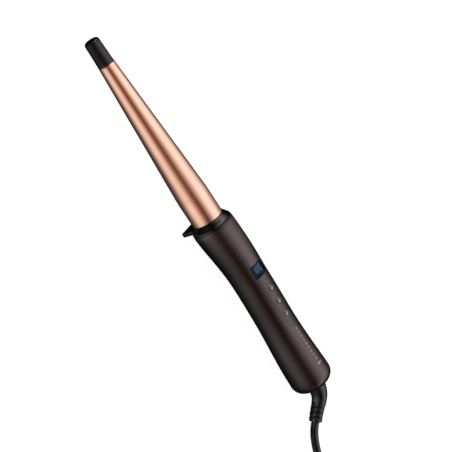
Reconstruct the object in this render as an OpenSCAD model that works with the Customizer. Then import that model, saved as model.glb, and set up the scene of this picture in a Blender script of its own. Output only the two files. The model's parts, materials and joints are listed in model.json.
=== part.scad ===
// Tapered curling wand with a digital handle, a fixed rest foot and a swivel cord.
// Most modules are drawn along the wand's own axis: x = 0 is the front of the collar,
// the cool tip is at -x, the cord leaves at +x and the display faces +z. place() then
// lays the wand on its foot and on the back of its handle, with z = 0 as the table.

/* [Barrel] */
// Length of the coated barrel that shows
barrel_len = 139; // [130:0.5:145]
// Radius of the barrel at the cool tip
barrel_tip_r = 6.6; // [6.4:0.1:7.2]
// Radius of the barrel at the handle
barrel_root_r = 12.5; // [12:0.1:12.5]
// Wall of the barrel tube
barrel_wall = 1.2; // [1:0.1:1.4]
// Length of the cool tip that shows
cool_tip_len = 21.2; // [18:0.1:24]

/* [Handle] */
// End of the handle, measured from the front of the collar
handle_end = 157.6; // [157:0.1:159]
// Radius of the handle behind the collar
front_r = 16.7; // [16.2:0.1:17.2]
// Radius of the handle at its waist
waist_r = 14.65; // [14.4:0.05:15]
// Radius of the handle near its end
rear_r = 16.8; // [16.3:0.1:17.2]
// How far the handle arches up under the display
arch = 3.15; // [2.5:0.05:3.4]
// Wall of the handle shells
shell_wall = 2; // [1.8:0.1:2.2]
// Radius of the rounding at the handle's end
end_round = 9.2; // [9:0.1:9.6]
// Depth of the rest foot below the wand's axis
foot_depth = 23.7; // [22.5:0.1:25]
// Width of the rest foot at its bottom
foot_w = 18.4; // [16:0.4:20]

/* [Controls] */
// Width of the display window across the handle
window_w = 14.4; // [13:0.1:14.6]
// Length of the display window along the handle
window_len = 11; // [10.8:0.1:11.2]
// Diameter of a push button
button_d = 5; // [4.6:0.1:5.4]
// Distance between two buttons
button_pitch = 11.8; // [11.5:0.1:12.1]
// Travel of a push button
button_travel = 0.35; // [0.25:0.05:0.4]

/* [Cord] */
// Diameter of the round mains cord
cord_d = 6.2; // [6:0.1:6.4]
// Distance between the two end loops of the hank
hank_run = 94; // [90:1:100]

/* [Hidden] */

// Gap between two pieces that are fitted together, and the overshoot of a cut
fit = 0.05;
cut = 1;
round_fn = 96;

// Handle: waist, crest of the arch and start of the straight rear, along the axis
collar_len = 6.2;
collar_lip = 12.98;
collar_end_r = 16.6;
collar_rise = 0.2;
front_x = 8;
waist_front = 60;
waist_back = 88;
rise_x = -4;
crest_x = 46;
rear_x = 154;
flat_x = 140;
rear_drop = 0.75;
part_z = 1;
seam = 0.03;
round_x = handle_end - end_round;
throat_r = 7.6;
arc_steps = 18;

// Barrel inside the handle
barrel_back = 12;
straight_len = 22;
taper_start = -barrel_len;

// Rest foot, front and back faces along the axis
foot_front = 2.9;
foot_back = 6.15;
foot_corner_r = 0.9;
foot_cut = 0.3;
tongue_w = 10;
tongue_r = 13.4;

// Display and buttons
window_x = 50.5;
button_x = [for (i = [0:2]) 67.8 + i * button_pitch];
button_gap = 0.06;
panel_front = 57;
panel_back = 104;
panel_depth = 1.2;
pcb_top = 8;
pcb_t = 1.6;
pcb_front = 30;
pcb_back = 111;
pcb_w = 20;
switch_h = 3.5;

// Swivel
core_r = 6;
core_front = 133;
flange_front = 149.6;
flange_back = 151;
ring_r = 5;
ring_w = 3;
ring_x = [122, 128];

// Places of the screws through the handle
boss_x = [22, 114.5];
post_x = [36, 108];

// Shape of the handle: radius and height of its centre at x
function ease(t) = (1 - cos(180 * min(max(t, 0), 1))) / 2;
function body_r(x) =
    x < waist_back ? front_r + (waist_r - front_r) * ease((x - front_x) / (waist_front - front_x))
                   : waist_r + (rear_r - waist_r) * ease((x - waist_back) / (rear_x - waist_back));
function handle_c(x) =
    x < crest_x ? arch * ease((x - rise_x) / (crest_x - rise_x))
                : arch - (arch + rear_drop) * ease((x - crest_x) / (flat_x - crest_x));
function end_cut(x) =
    x < round_x ? 0 : end_round - sqrt(max(end_round * end_round - pow(x - round_x, 2), 0));
function handle_r(x) = body_r(x) - end_cut(x);
function cavity_r(x) =
    x < flange_front ? min(handle_r(x) - shell_wall, body_r(round_x) - shell_wall)
    : x < flange_back + 0.1 ? rear_r - 4
    : throat_r;
function top_z(x) = handle_c(x) + handle_r(x);

// The wand rests on the foot and on the lowest point of the handle's rear
rear_touch_x = round_x + end_round * sin(2.5);
rear_touch_z = handle_c(rear_touch_x) - handle_r(rear_touch_x);
tilt = atan((rear_touch_z + foot_depth) / (rear_touch_x - foot_back));
rest_z = foot_depth * cos(tilt) + foot_back * sin(tilt);
origin_x = -1.8 * cos(tilt);
function placed(p) = [
    p.x * cos(tilt) + p.z * sin(tilt) - origin_x,
    p.y,
    -p.x * sin(tilt) + p.z * cos(tilt) + rest_z
];

// Stations along the handle where its sections are drawn
shell_stations = concat(
    [collar_len + fit, 9, 12, 16],
    [for (x = [22:6:round_x - 3]) x],
    [round_x, rear_touch_x, 149.2, flange_front, flange_back, flange_back + 0.5, 152.6],
    [for (a = [35, 45, 56, 66, 75, 82]) round_x + end_round * sin(a)]
);

// Sleeve and cord on the table, as centre points with z = 0 as the table
sleeve_route = [
    placed([flange_back + 0.02, 0, -rear_drop]), placed([handle_end + 0.4, 0, -rear_drop]),
    [162.8, -0.4, 15.9], [167, -1.5, 14.8], [170.8, -3.7, 13.2], [174.4, -6.8, 11.1],
    [178.1, -10, 9], [182.4, -13.4, 6.8]
];
sleeve_radii = [7.1, 7.1, 6.8, 6.25, 5.75, 5.4, 5.2, 5];
sleeve_end = sleeve_route[len(sleeve_route) - 1];
sleeve_step = sleeve_end - sleeve_route[len(sleeve_route) - 2];
sleeve_dir = sleeve_step / norm(sleeve_step);

// The sleeve turns with the swivel, so the cord starts a little way off its end
cord_gap = 1;
cord_r = cord_d / 2;
cord_route = [
    sleeve_end + cord_gap * sleeve_dir, sleeve_end + 4 * sleeve_dir, [190, -19.3, 3.9],
    [196, -23.2, 3.2], [203, -27.2, cord_r], [212, -31.2, cord_r], [223, -35.2, cord_r],
    [235, -38.1, cord_r], [247, -39.5, cord_r], [258, -39.8, cord_r]
];
plug_dir = 20;
plug_start = [275.6, -28.4, 26.6];
tail_route = [
    [241.8, -6.2, 15.8], [239.4, -15, 17.6], [242.6, -25.4, 20.2], [249.6, -31.6, 22.8],
    [258, -33.4, 25], plug_start - 9 * [cos(plug_dir), sin(plug_dir), 0], plug_start
];

// Hank: two end loops joined by a waist, three layers of cord high
loop_x = 258;
loop_y = -15;
hank_x = loop_x + hank_run / 2;
fold_r = 3 * cord_d;
hank_r = fold_r + 1.5 * cord_d;
hank_h = 3 * cord_d;
waist_half = 2 * cord_d;
pinch = 25;
tie_w = 8;
tie_t = 1;
tie_gap = 0.1;

// Plug: a flat two-pin plug with round pins, lying on the hank along the last run
plug_sleeve_len = 20;
plug_len = 36;
plug_w = 35.3;
plug_t = 13.7;
pin_r = 2;
pin_len = 19;
pin_pitch = 18.6;

module place() {
    translate([-origin_x, 0, rest_z]) rotate([0, tilt, 0]) children();
}

// Solid of revolution about the axis, from [radius, x] points
module lathe(points, z = 0) {
    translate([0, 0, z]) rotate([0, 90, 0]) rotate_extrude($fn = round_fn) polygon(points);
}

// Cylinder along the axis from x = a to x = b
module rod(r, a, b, y = 0, z = 0) {
    translate([a, y, z]) rotate([0, 90, 0]) cylinder(r = r, h = b - a, $fn = round_fn);
}

// Upright cylinder from z = a to z = b
module post(r, x, y, a, b) {
    translate([x, y, a]) cylinder(r = r, h = b - a, $fn = round_fn);
}

// Box between two corners
module block(a, b) {
    translate(a) cube(b - a);
}

// Triangles of a quad, and of the strip of quads between two rings of n points
function quad(a, b, c, d) = [[a, b, c], [a, c, d]];
function flat(lists) = [for (l = lists) each l];

// Half of a tube that follows the handle, between two insets from its surface
module half_tube(stations, outer_inset, wall_r, upper, split_z) {
    n = arc_steps;
    m = n + 1;
    function arc(x, r) =
        let (c = handle_c(x), a0 = asin((split_z - c) / r))
        [for (i = [0:n])
            let (a = upper ? a0 + (180 - 2 * a0) * i / n : 180 - a0 + (180 + 2 * a0) * i / n)
            [x, r * cos(a), c + r * sin(a)]];
    points = flat([for (x = stations)
        concat(arc(x, handle_r(x) - outer_inset), arc(x, wall_r(x)))]);
    last = len(stations) - 1;
    faces = concat(
        flat([for (k = [0:last - 1], i = [0:n - 1])
            let (a = 2 * m * k + i, b = a + 2 * m)
            concat(quad(a, b, b + 1, a + 1), quad(a + m + 1, b + m + 1, b + m, a + m))]),
        flat([for (k = [0:last - 1])
            let (a = 2 * m * k, b = a + 2 * m)
            concat(quad(a + m, b + m, b, a), quad(a + n, b + n, b + m + n, a + m + n))]),
        flat([for (i = [0:n - 1])
            let (a = i, b = 2 * m * last + i)
            concat(quad(a, a + 1, a + m + 1, a + m), quad(b + m, b + m + 1, b + 1, b))])
    );
    polyhedron(points, faces, convexity = 6);
}

// Round bar swept along a route, with a radius at each of its points
module swept(route, radii, sides) {
    last = len(route) - 1;
    function along(k) = let (v = route[min(k + 1, last)] - route[max(k - 1, 0)]) v / norm(v);
    points = flat([for (k = [0:last])
        let (t = along(k), s = cross(t, [0, 0, 1]) / norm(cross(t, [0, 0, 1])), u = cross(s, t))
        [for (i = [0:sides - 1])
            route[k] + radii[k] * (cos(360 * i / sides) * u + sin(360 * i / sides) * s)]]);
    faces = concat(
        flat([for (k = [0:last - 1], i = [0:sides - 1])
            let (a = sides * k + i, b = sides * k + (i + 1) % sides)
            quad(a, b, b + sides, a + sides)]),
        [[for (i = [sides - 1:-1:0]) i]],
        [[for (i = [0:sides - 1]) sides * last + i]]
    );
    polyhedron(points, faces, convexity = 6);
}

function inner_r(x) =
    (x > -straight_len ? barrel_root_r
        : barrel_root_r - (barrel_root_r - barrel_tip_r)
            * (-straight_len - x) / (barrel_len - straight_len)) - barrel_wall;

// Insulated wire through a list of points along the wand
module wire(points, d) {
    place() swept(points, [for (p = points) d / 2], 8);
}

// ---- heated barrel ----

module cool_tip() {
    tip = taper_start - cool_tip_len;
    r = barrel_tip_r - 0.1;
    round_r = 2.4;
    color("#1c1c1e") place() lathe(concat(
        [[0, tip]],
        [for (a = [0:10:90]) [r - 0.5 - round_r * (1 - sin(a)), tip + round_r * (1 - cos(a))]],
        [[r, taper_start - fit], [3.55, taper_start - fit], [3.55, taper_start - 8.1],
         [1.52, taper_start - 8.1], [1.52, tip + 3], [0, tip + 3]]
    ));
}

module tip_insulator() {
    color("#d9d2c3") place() difference() {
        lathe([[0, taper_start - 8], [3.5, taper_start - 8], [3.5, taper_start],
               [inner_r(taper_start) - fit, taper_start],
               [inner_r(taper_start) - fit, taper_start + 8], [0, taper_start + 8]]);
        rod(1.52, taper_start - 8 - cut, taper_start + 8 + cut);
        rod(2.9, taper_start + 5, taper_start + 8 + cut);
    }
}

module tip_screw() {
    color("silver") place() {
        rod(1.5, taper_start - 15, taper_start + 5.1);
        rod(2.7, taper_start + 5.1, taper_start + 7);
    }
}

module barrel() {
    color("#c98263") place() difference() {
        lathe([[inner_r(taper_start), taper_start], [barrel_tip_r, taper_start],
               [barrel_root_r, -straight_len], [barrel_root_r, barrel_back],
               [barrel_root_r - barrel_wall, barrel_back],
               [barrel_root_r - barrel_wall, -straight_len]]);
        grub_places() cylinder(r = 1.27, h = 20, $fn = 48);
    }
}

// Half of the aluminium core that carries heat from the ceramic plate to the barrel
module heat_spreader() {
    front = taper_start + 12;
    back = -12;
    gap = 0.1;
    skin_t = 1.6;
    intersection() {
        difference() {
            lathe([[0, front], [inner_r(front) - gap, front],
                   [inner_r(-straight_len) - gap, -straight_len],
                   [inner_r(back) - gap, back], [0, back]]);
            intersection() {
                lathe([[0, front - cut], [inner_r(front) - gap - skin_t, front - cut],
                       [inner_r(-straight_len) - gap - skin_t, -straight_len],
                       [inner_r(back) - gap - skin_t, back + cut], [0, back + cut]]);
                block([front - cut, -20, 2.4], [back + cut, 20, 20]);
            }
        }
        block([front - cut, -20, 0.8], [back + cut, 20, 20]);
    }
}

module heat_spreader_upper() {
    color("#b9bcc0") place() heat_spreader();
}

module heat_spreader_lower() {
    color("#b9bcc0") place() mirror([0, 0, 1]) heat_spreader();
}

module heater_plate() {
    color("ivory") place() block([taper_start + 16, -4, -0.75], [-16, 4, 0.75]);
}

module thermistor() {
    color("#8a3b2a") place() {
        rod(1.1, -64, -59, 0, 3.55);
    }
}

module thermal_fuse() {
    color("#d8d8d8") place() rod(1.9, -44, -34, 0, -4.4);
}

module heater_leads() {
    color("#f2f2ee") for (s = [-1, 1])
        wire([[-15.9, 2.2 * s, 0], [11, 2.2 * s, 0], [14, 2.9 * s, 0.3], [20, 4.9 * s, 1.2],
              [24, 5.4 * s, 2.3], [31, 6 * s, 5.6]], 1.4);
}

module sensor_leads() {
    color("#e8d9a0") for (s = [-1, 1])
        wire([[-58.9, 0.6 * s, 3.55], [-10, 0.6 * s, 3.55], [12.6, 0.9 * s, 3.4],
              [15.4, 2.4 * s, 3.7], [18.4, 4.4 * s, 4.6], [23, 4.4 * s, 6.9],
              [27, 3.7 * s, 8.4], [31.5, 3.4 * s, 8.45]], 0.8);
}

// ---- joint of barrel and handle ----

module grub_places() {
    for (a = [90, 210, 330]) translate([7, 0, 0]) rotate([a, 0, 0]) children();
}

module barrel_carrier() {
    color("#5b4636") place() difference() {
        lathe([[6, 1], [barrel_root_r - barrel_wall - fit, 1],
               [barrel_root_r - barrel_wall - fit, barrel_back + fit],
               [13.1, barrel_back + fit], [13.1, 15], [6, 15]]);
        grub_places() translate([0, 0, 8]) cylinder(r = 1.27, h = 10, $fn = 48);
    }
}

module barrel_grub_screws() {
    color("silver") place() grub_places() translate([0, 0, 8.05])
        cylinder(r = 1.25, h = barrel_root_r - 8.15, $fn = 48);
}

function collar_r(x) =
    collar_lip + (collar_end_r - collar_lip) * sin(90 * pow(x / collar_len, 1.3));

module collar() {
    color("#17181a") place() difference() {
        lathe(concat(
            [[0, 0]],
            [for (i = [0:12]) let (x = collar_len * i / 12) [collar_r(x), x]],
            [[13.55, collar_len], [13.55, 11.5], [0, 11.5]]
        ), collar_rise);
        rod(barrel_root_r + fit, -cut, barrel_back + cut);
        block([foot_front - fit, -tongue_w / 2 - fit, -25],
              [collar_len + fit, tongue_w / 2 + fit, -tongue_r + fit]);
    }
}

module foot_outline(depth) {
    w = foot_w / 2;
    r = foot_corner_r;
    polygon([[0.4 - w, -11], [-w, r - depth], [r - w, r - depth], [r - w, -depth],
             [w - r, -depth], [w - r, r - depth], [w, r - depth], [w - 0.4, -11]]);
    for (s = [-1, 1]) translate([s * (w - r), r - depth]) circle(r = r, $fn = 64);
}

module rest_foot() {
    // The plate is drawn a little long and its underside cut level with the table
    color("#17181a") intersection() {
        place() union() {
            difference() {
                translate([foot_front, 0, 0]) rotate([90, 0, 90])
                    linear_extrude(foot_back - foot_front) foot_outline(foot_depth + foot_cut);
                lathe(concat([[0, -1]],
                    [for (i = [0:12]) let (x = collar_len * i / 12) [collar_r(x) + fit, x]],
                    [[0, collar_len + 1]]), collar_rise);
            }
            difference() {
                block([foot_front, -tongue_w / 2, -front_r - 1],
                      [foot_back, tongue_w / 2, -tongue_r]);
                rod(tongue_r, -1, 20);
            }
        }
        block([-60, -60, 0], [60, 60, 40]);
    }
}

// ---- handle ----

module shell(upper) {
    half_tube(shell_stations, 0, function(x) cavity_r(x), upper,
              part_z + (upper ? seam : -seam));
}

module panel_outline(grow = 0) {
    tip_r = 2.8 + grow;
    half = 7.4 + grow;
    polygon([[panel_front - grow, -half], [panel_front + 10, -half + 0.9],
             [panel_back - 14, -4.3 - grow], [panel_back - 2.4, -tip_r],
             [panel_back - 2.4, tip_r], [panel_back - 14, 4.3 + grow],
             [panel_front + 10, half - 0.9], [panel_front - grow, half]]);
    translate([panel_back - 2.8, 0]) circle(r = tip_r, $fn = 64);
}

module panel_prism(grow = 0) {
    translate([0, 0, 5]) linear_extrude(20) panel_outline(grow);
}

module skin_layer(a, b, above, depth) {
    half_tube([for (i = [0:8]) a + (b - a) * i / 8], -above,
              function(x) handle_r(x) - depth, true, 6);
}

module handle_upper() {
    color("#4a3a3e") place() difference() {
        union() {
            shell(true);
            for (x = boss_x) post(2.7, x, 0, -1.8, top_z(x) - 1);
            for (x = post_x) post(2.2, x, 0, pcb_top, top_z(x) - 1);
        }
        for (x = boss_x) post(1.02, x, 0, -2.8, 9);
        for (x = post_x) post(0.92, x, 0, pcb_top - 1, 13.5);
        block([window_x - window_len / 2 - fit, -window_w / 2 - fit, 8],
              [window_x + window_len / 2 + fit, window_w / 2 + fit, 25]);
        intersection() {
            skin_layer(panel_front - 2, panel_back + 2, 1, panel_depth + fit);
            panel_prism(fit);
        }
        for (x = button_x) post(button_d / 2 + button_gap, x, 0, 8, 25);
    }
}

module handle_lower() {
    color("#4a3a3e") place() difference() {
        union() {
            shell(false);
            for (x = boss_x) post(3.4, x, 0, handle_c(x) - handle_r(x) + 1, -1.9);
        }
        for (x = boss_x) post(1.3, x, 0, -25, 0);
        for (x = boss_x) post(2.6, x, 0, -25, -6.5);
    }
}

module handle_screws() {
    color("silver") place() for (x = boss_x) {
        post(2.4, x, 0, -8.2, -6.5);
        post(1, x, 0, -6.5, 7);
    }
}

// ---- display and controls ----

module control_panel() {
    color("#54444a") place() difference() {
        intersection() {
            skin_layer(panel_front - 2, panel_back + 2, 0, panel_depth);
            panel_prism();
        }
        for (x = button_x) post(button_d / 2 + button_gap, x, 0, 8, 25);
    }
}

module display_lens() {
    color("#10202c") place() intersection() {
        skin_layer(window_x - 6, window_x + 6, 0, 1.2);
        block([window_x - window_len / 2, -window_w / 2, 5],
              [window_x + window_len / 2, window_w / 2, 25]);
    }
}

lcd_top = top_z(window_x) - 2.75;
holder_top = lcd_top - 3.05;

module display_bezel() {
    // Black frame round the glass, under the lens
    color("#0c0d0f") place() difference() {
        block([window_x - 5.3, -6.95, holder_top + 0.02],
              [window_x + 5.3, 6.95, lcd_top - 0.55]);
        block([window_x - 4.65, -6.15, holder_top - cut], [window_x + 4.65, 6.15, lcd_top]);
    }
}

module lcd_glass() {
    color("#3f9fd0") place()
        block([window_x - 4.6, -6.1, lcd_top - 1.4], [window_x + 4.6, 6.1, lcd_top - fit]);
}

module backlight() {
    color("#dff2ff") place()
        block([window_x - 4.6, -6.1, lcd_top - 3], [window_x + 4.6, 6.1, lcd_top - 1.45]);
}

module lcd_holder() {
    color("white") place() difference() {
        block([window_x - 6, -7.4, pcb_top], [window_x + 6, 7.4, holder_top]);
        block([window_x - 3.9, -5.2, pcb_top + 1], [window_x + 3.9, 5.2, holder_top + cut]);
    }
}

module pcb() {
    color("#1f6b3a") place() difference() {
        block([pcb_front, -pcb_w / 2, pcb_top - pcb_t], [pcb_back, pcb_w / 2, pcb_top]);
        for (x = post_x) post(1.2, x, 0, 0, 20);
    }
}

module pcb_screws() {
    color("silver") place() for (x = post_x) {
        post(0.9, x, 0, pcb_top - pcb_t, 13);
        post(1.9, x, 0, pcb_top - pcb_t - 1.3, pcb_top - pcb_t);
    }
}

module mcu() {
    color("#222222") place() block([98, 2.6, pcb_top], [104, 8.6, pcb_top + 1.2]);
}

module triac() {
    color("#2a2a2c") place() block([92, -8, -0.6], [97, 3, pcb_top - pcb_t]);
}

module film_capacitor() {
    color("#c9a227") place() block([70, -7.5, -3.5], [88, 1.5, pcb_top - pcb_t]);
}

module bulk_capacitor() {
    color("#20304a") place() rod(3.9, 44, 58, -3.5, 2.4);
}

module fuse_resistor() {
    color("#9db7c9") place() rod(1.9, 44, 54, 5.6, 4.4);
}

module tact_switch(i) {
    x = button_x[i];
    color("#2b2b2b") place() difference() {
        block([x - 3, -3, pcb_top], [x + 3, 3, pcb_top + switch_h]);
        post(1.72, x, 0, pcb_top + 1.6, pcb_top + switch_h + cut);
    }
}

module tact_plunger(i) {
    x = button_x[i];
    color("#8f2f2a") place()
        post(1.68, x, 0, pcb_top + 2.2, button_low(x) - 0.02);
}

module tact_switch_1() { tact_switch(0); }
module tact_switch_2() { tact_switch(1); }
module tact_switch_3() { tact_switch(2); }
module tact_plunger_1() { tact_plunger(0); }
module tact_plunger_2() { tact_plunger(1); }
module tact_plunger_3() { tact_plunger(2); }

// Level of a button's lower end, on its switch's plunger
function button_low(x) = top_z(x) - shell_wall - 1.9;

// Domed button that is held under the shell by its flange
module button(i) {
    x = button_x[i];
    r = button_d / 2;
    low = button_low(x);
    brim = top_z(x) - shell_wall - 0.75;
    edge = top_z(x) + 0.35;
    color("#d8a48c") place() translate([x, 0, 0]) rotate_extrude($fn = round_fn)
        polygon(concat(
            [[0, low], [1.5, low], [1.5, brim - 0.6], [r + 0.5, brim - 0.6],
             [r + 0.5, brim], [r, brim]],
            [for (a = [0:15:90]) [r - 0.7 + 0.7 * cos(a), edge + 0.45 * sin(a)]],
            [[0, edge + 0.6]]
        ));
}

module button_plus() { button(0); }
module button_minus() { button(1); }
module button_power() { button(2); }

// ---- swivel ----

module swivel_seat() {
    color("#2a2b2e") place() lathe([
        [core_r + fit, core_front + 0.3], [9, core_front + 0.3], [9, 141], [14.2, 141],
        [14.2, 145.6], [11, flange_front - fit], [core_r + fit, flange_front - fit]
    ], -rear_drop);
}

module brush_holder() {
    color("#6d5a44") place() translate([0, 0, -rear_drop]) difference() {
        block([118.5, -9, -8], [core_front + 0.2, 9, 8]);
        rod(6.6, 117, core_front + 1);
        for (x = ring_x) block([x - 0.1, -2.1, 4.9], [x + ring_w + 0.1, 2.1, 9]);
    }
}

// Spring contact that rubs on a slip ring
module brush(x) {
    color("#b5763a") place() translate([0, 0, -rear_drop]) {
        block([x + 0.4, -2, ring_r + 0.02], [x + ring_w - 0.4, 2, ring_r + 0.42]);
        block([x + 0.4, 1.6, ring_r + 0.02], [x + ring_w - 0.4, 2, 8.42]);
        block([x + 0.4, -4, 8.02], [x + ring_w - 0.4, 2, 8.42]);
    }
}

module brush_line() { brush(ring_x[0]); }
module brush_neutral() { brush(ring_x[1]); }

module mains_leads() {
    color("#7a4a2a") for (i = [0, 1])
        wire([[ring_x[i] + 2, 0.8 - 4 * i, 8.55], [ring_x[i] - 1, 1.6 - 5 * i, 8.7],
              [115 - 4 * i, 6.6 - 13.8 * i, 9.4], [111 - 4 * i, 7.6 - 15.2 * i, 9.2],
              [106 - 2 * i, 7.6 - 15.2 * i, 8.65]], 1.2);
}

module swivel_core() {
    color("#1d1e20") place() lathe([
        [0, 120], [3.9, 120], [3.9, core_front], [core_r, core_front],
        [core_r, flange_front], [8.5, flange_front], [8.5, flange_back], [0, flange_back]
    ], -rear_drop);
}

module slip_ring(x) {
    color("#c8a24a") place() lathe([
        [3.92, x], [ring_r, x], [ring_r, x + ring_w], [3.92, x + ring_w]
    ], -rear_drop);
}

module slip_ring_line() { slip_ring(ring_x[0]); }
module slip_ring_neutral() { slip_ring(ring_x[1]); }

module strain_relief() {
    color("#232427") swept(sleeve_route, sleeve_radii, 24);
}

// ---- cord and plug ----

module power_cord() {
    color("#232427") swept(cord_route, [for (p = cord_route) cord_r], 12);
}

module cord_hank() {
    reach = hank_r * sin(pinch);
    half = hank_r * cos(pinch);
    color("#232427") difference() {
        linear_extrude(hank_h) {
            for (x = [loop_x, loop_x + hank_run])
                translate([x, loop_y]) circle(r = hank_r, $fn = round_fn);
            polygon([for (s = [-1, 1], p = [
                [loop_x + reach, half], [hank_x - tie_w, waist_half],
                [hank_x + tie_w, waist_half], [loop_x + hank_run - reach, half]
            ]) [s < 0 ? p.x : 2 * hank_x - p.x, loop_y + s * p.y]]);
        }
        block([hank_x - tie_w / 2 - tie_gap, -60, -1],
              [hank_x + tie_w / 2 + tie_gap, 30, tie_t + tie_gap]);
    }
}

module cord_tie() {
    in_y = waist_half + tie_gap;
    color("#101011") translate([hank_x - tie_w / 2, loop_y, 0]) difference() {
        block([0, -in_y - tie_t, 0], [tie_w, in_y + tie_t, hank_h + tie_gap + tie_t]);
        block([-cut, -in_y, tie_t], [tie_w + cut, in_y, hank_h + tie_gap]);
    }
}

module cord_tail() {
    color("#232427") swept(tail_route, [for (p = tail_route) cord_r], 12);
}

module at_plug() {
    translate(plug_start) rotate([0, 0, plug_dir]) children();
}

module plug_body() {
    s = plug_sleeve_len;
    w = plug_w / 2;
    color("#1a1b1d") at_plug() {
        rotate([0, 90, 0]) cylinder(r1 = 4.1, r2 = 5.6, h = s + 3, $fn = round_fn);
        translate([0, 0, -plug_t / 2]) linear_extrude(plug_t) polygon([
            [s, -6], [s + 8, -8.5], [s + 22, -w], [s + plug_len, -w],
            [s + plug_len, w], [s + 22, w], [s + 8, 8.5], [s, 6]
        ]);
    }
}

module plug_pins() {
    color("silver") at_plug() for (s = [-1, 1])
        translate([plug_sleeve_len + plug_len, s * pin_pitch / 2, 0]) rotate([0, 90, 0]) {
            cylinder(r = pin_r, h = pin_len - pin_r, $fn = 48);
            translate([0, 0, pin_len - pin_r]) sphere(r = pin_r, $fn = 48);
        }
}

cool_tip();
tip_insulator();
tip_screw();
barrel();
heat_spreader_upper();
heat_spreader_lower();
heater_plate();
thermistor();
thermal_fuse();
heater_leads();
sensor_leads();
barrel_carrier();
barrel_grub_screws();
collar();
rest_foot();
handle_upper();
handle_lower();
handle_screws();
control_panel();
display_lens();
display_bezel();
lcd_glass();
backlight();
lcd_holder();
pcb();
pcb_screws();
mcu();
triac();
film_capacitor();
bulk_capacitor();
fuse_resistor();
tact_switch_1();
tact_switch_2();
tact_switch_3();
tact_plunger_1();
tact_plunger_2();
tact_plunger_3();
button_plus();
button_minus();
button_power();
swivel_seat();
brush_holder();
brush_line();
brush_neutral();
mains_leads();
swivel_core();
slip_ring_line();
slip_ring_neutral();
strain_relief();
power_cord();
cord_hank();
cord_tie();
cord_tail();
plug_body();
plug_pins();
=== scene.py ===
"""A tapered curling wand on a pale table: its visible pieces, materials, light and camera.

Lengths in this file are millimetres along the wand's own axis, as in the CAD source, and
placed() turns them into metres in the shared frame. Cord routes are millimetres on the table.
"""
import json
import math

import bmesh
import bpy
import numpy as np
from mathutils import Matrix, Vector, geometry


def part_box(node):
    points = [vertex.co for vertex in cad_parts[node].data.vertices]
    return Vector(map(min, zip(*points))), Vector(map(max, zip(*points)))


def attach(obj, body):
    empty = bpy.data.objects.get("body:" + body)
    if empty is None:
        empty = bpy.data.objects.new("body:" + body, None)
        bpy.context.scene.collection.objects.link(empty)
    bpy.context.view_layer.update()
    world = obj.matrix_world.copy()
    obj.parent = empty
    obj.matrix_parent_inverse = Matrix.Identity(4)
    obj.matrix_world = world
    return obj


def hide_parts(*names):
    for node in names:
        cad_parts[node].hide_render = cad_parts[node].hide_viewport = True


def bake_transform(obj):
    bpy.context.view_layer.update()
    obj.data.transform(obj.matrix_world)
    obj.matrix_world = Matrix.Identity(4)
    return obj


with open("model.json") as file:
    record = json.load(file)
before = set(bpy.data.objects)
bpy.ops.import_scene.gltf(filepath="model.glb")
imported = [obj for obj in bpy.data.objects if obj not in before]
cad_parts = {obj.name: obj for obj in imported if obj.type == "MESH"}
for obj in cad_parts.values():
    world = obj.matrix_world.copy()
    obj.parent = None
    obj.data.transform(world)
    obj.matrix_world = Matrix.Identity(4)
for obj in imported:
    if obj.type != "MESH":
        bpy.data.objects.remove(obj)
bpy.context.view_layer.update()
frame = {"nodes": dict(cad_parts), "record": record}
NODES = frame["nodes"]

# ---- the wand's own axis

FRONT_R, WAIST_R, REAR_R = 16.7, 14.65, 16.8
FRONT_X, WAIST_FRONT, WAIST_BACK, REAR_X = 8.0, 60.0, 88.0, 154.0
RISE_X, CREST_X, FLAT_X = -4.0, 46.0, 140.0
ARCH, REAR_DROP = 3.15, 0.75
HANDLE_END, END_ROUND = 157.6, 9.2
THROAT_R = 7.6
ROUND_X = HANDLE_END - END_ROUND
BARREL_LEN, TIP_LEN = 139.0, 21.2
BARREL_TIP_R, BARREL_R, BARREL_STRAIGHT = 6.6, 12.5, 22.0
FOOT_DEPTH, FOOT_FRONT, FOOT_BACK = 23.7, 2.9, 6.15
COLLAR_LEN, COLLAR_LIP, COLLAR_END_R, COLLAR_RISE = 6.2, 12.98, 16.6, 0.2
PART_Z, SEAM = 1.0, 0.03


def ease(t):
    return (1 - np.cos(np.pi * np.clip(t, 0, 1))) / 2


def body_r(x):
    x = np.asarray(x, float)
    front = FRONT_R + (WAIST_R - FRONT_R) * ease((x - FRONT_X) / (WAIST_FRONT - FRONT_X))
    rear = WAIST_R + (REAR_R - WAIST_R) * ease((x - WAIST_BACK) / (REAR_X - WAIST_BACK))
    return np.where(x < WAIST_BACK, front, rear)


def handle_c(x):
    x = np.asarray(x, float)
    front = ARCH * ease((x - RISE_X) / (CREST_X - RISE_X))
    rear = ARCH - (ARCH + REAR_DROP) * ease((x - CREST_X) / (FLAT_X - CREST_X))
    return np.where(x < CREST_X, front, rear)


def top_z(x):
    return float(handle_c(x) + body_r(x))


touch_x = ROUND_X + END_ROUND * math.sin(math.radians(2.5))
touch_r = float(body_r(touch_x)) - END_ROUND + math.sqrt(END_ROUND**2 - (touch_x - ROUND_X)**2)
TILT = math.atan((float(handle_c(touch_x)) - touch_r + FOOT_DEPTH) / (touch_x - FOOT_BACK))
COS, SIN = math.cos(TILT), math.sin(TILT)
REST_Z = FOOT_DEPTH * COS + FOOT_BACK * SIN
ORIGIN_X = -1.8 * COS


def placed(points):
    """Points along the wand, in millimetres, as metres in the shared frame."""
    p = np.atleast_2d(np.asarray(points, float))
    return np.stack([
        p[:, 0] * COS + p[:, 2] * SIN - ORIGIN_X,
        p[:, 1],
        -p[:, 0] * SIN + p[:, 2] * COS + REST_Z,
    ], axis=1) / 1000


def turned(v):
    """A direction along the wand as one in the shared frame."""
    return Vector((v[0] * COS + v[2] * SIN, v[1], -v[0] * SIN + v[2] * COS))


# ---- materials


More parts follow.
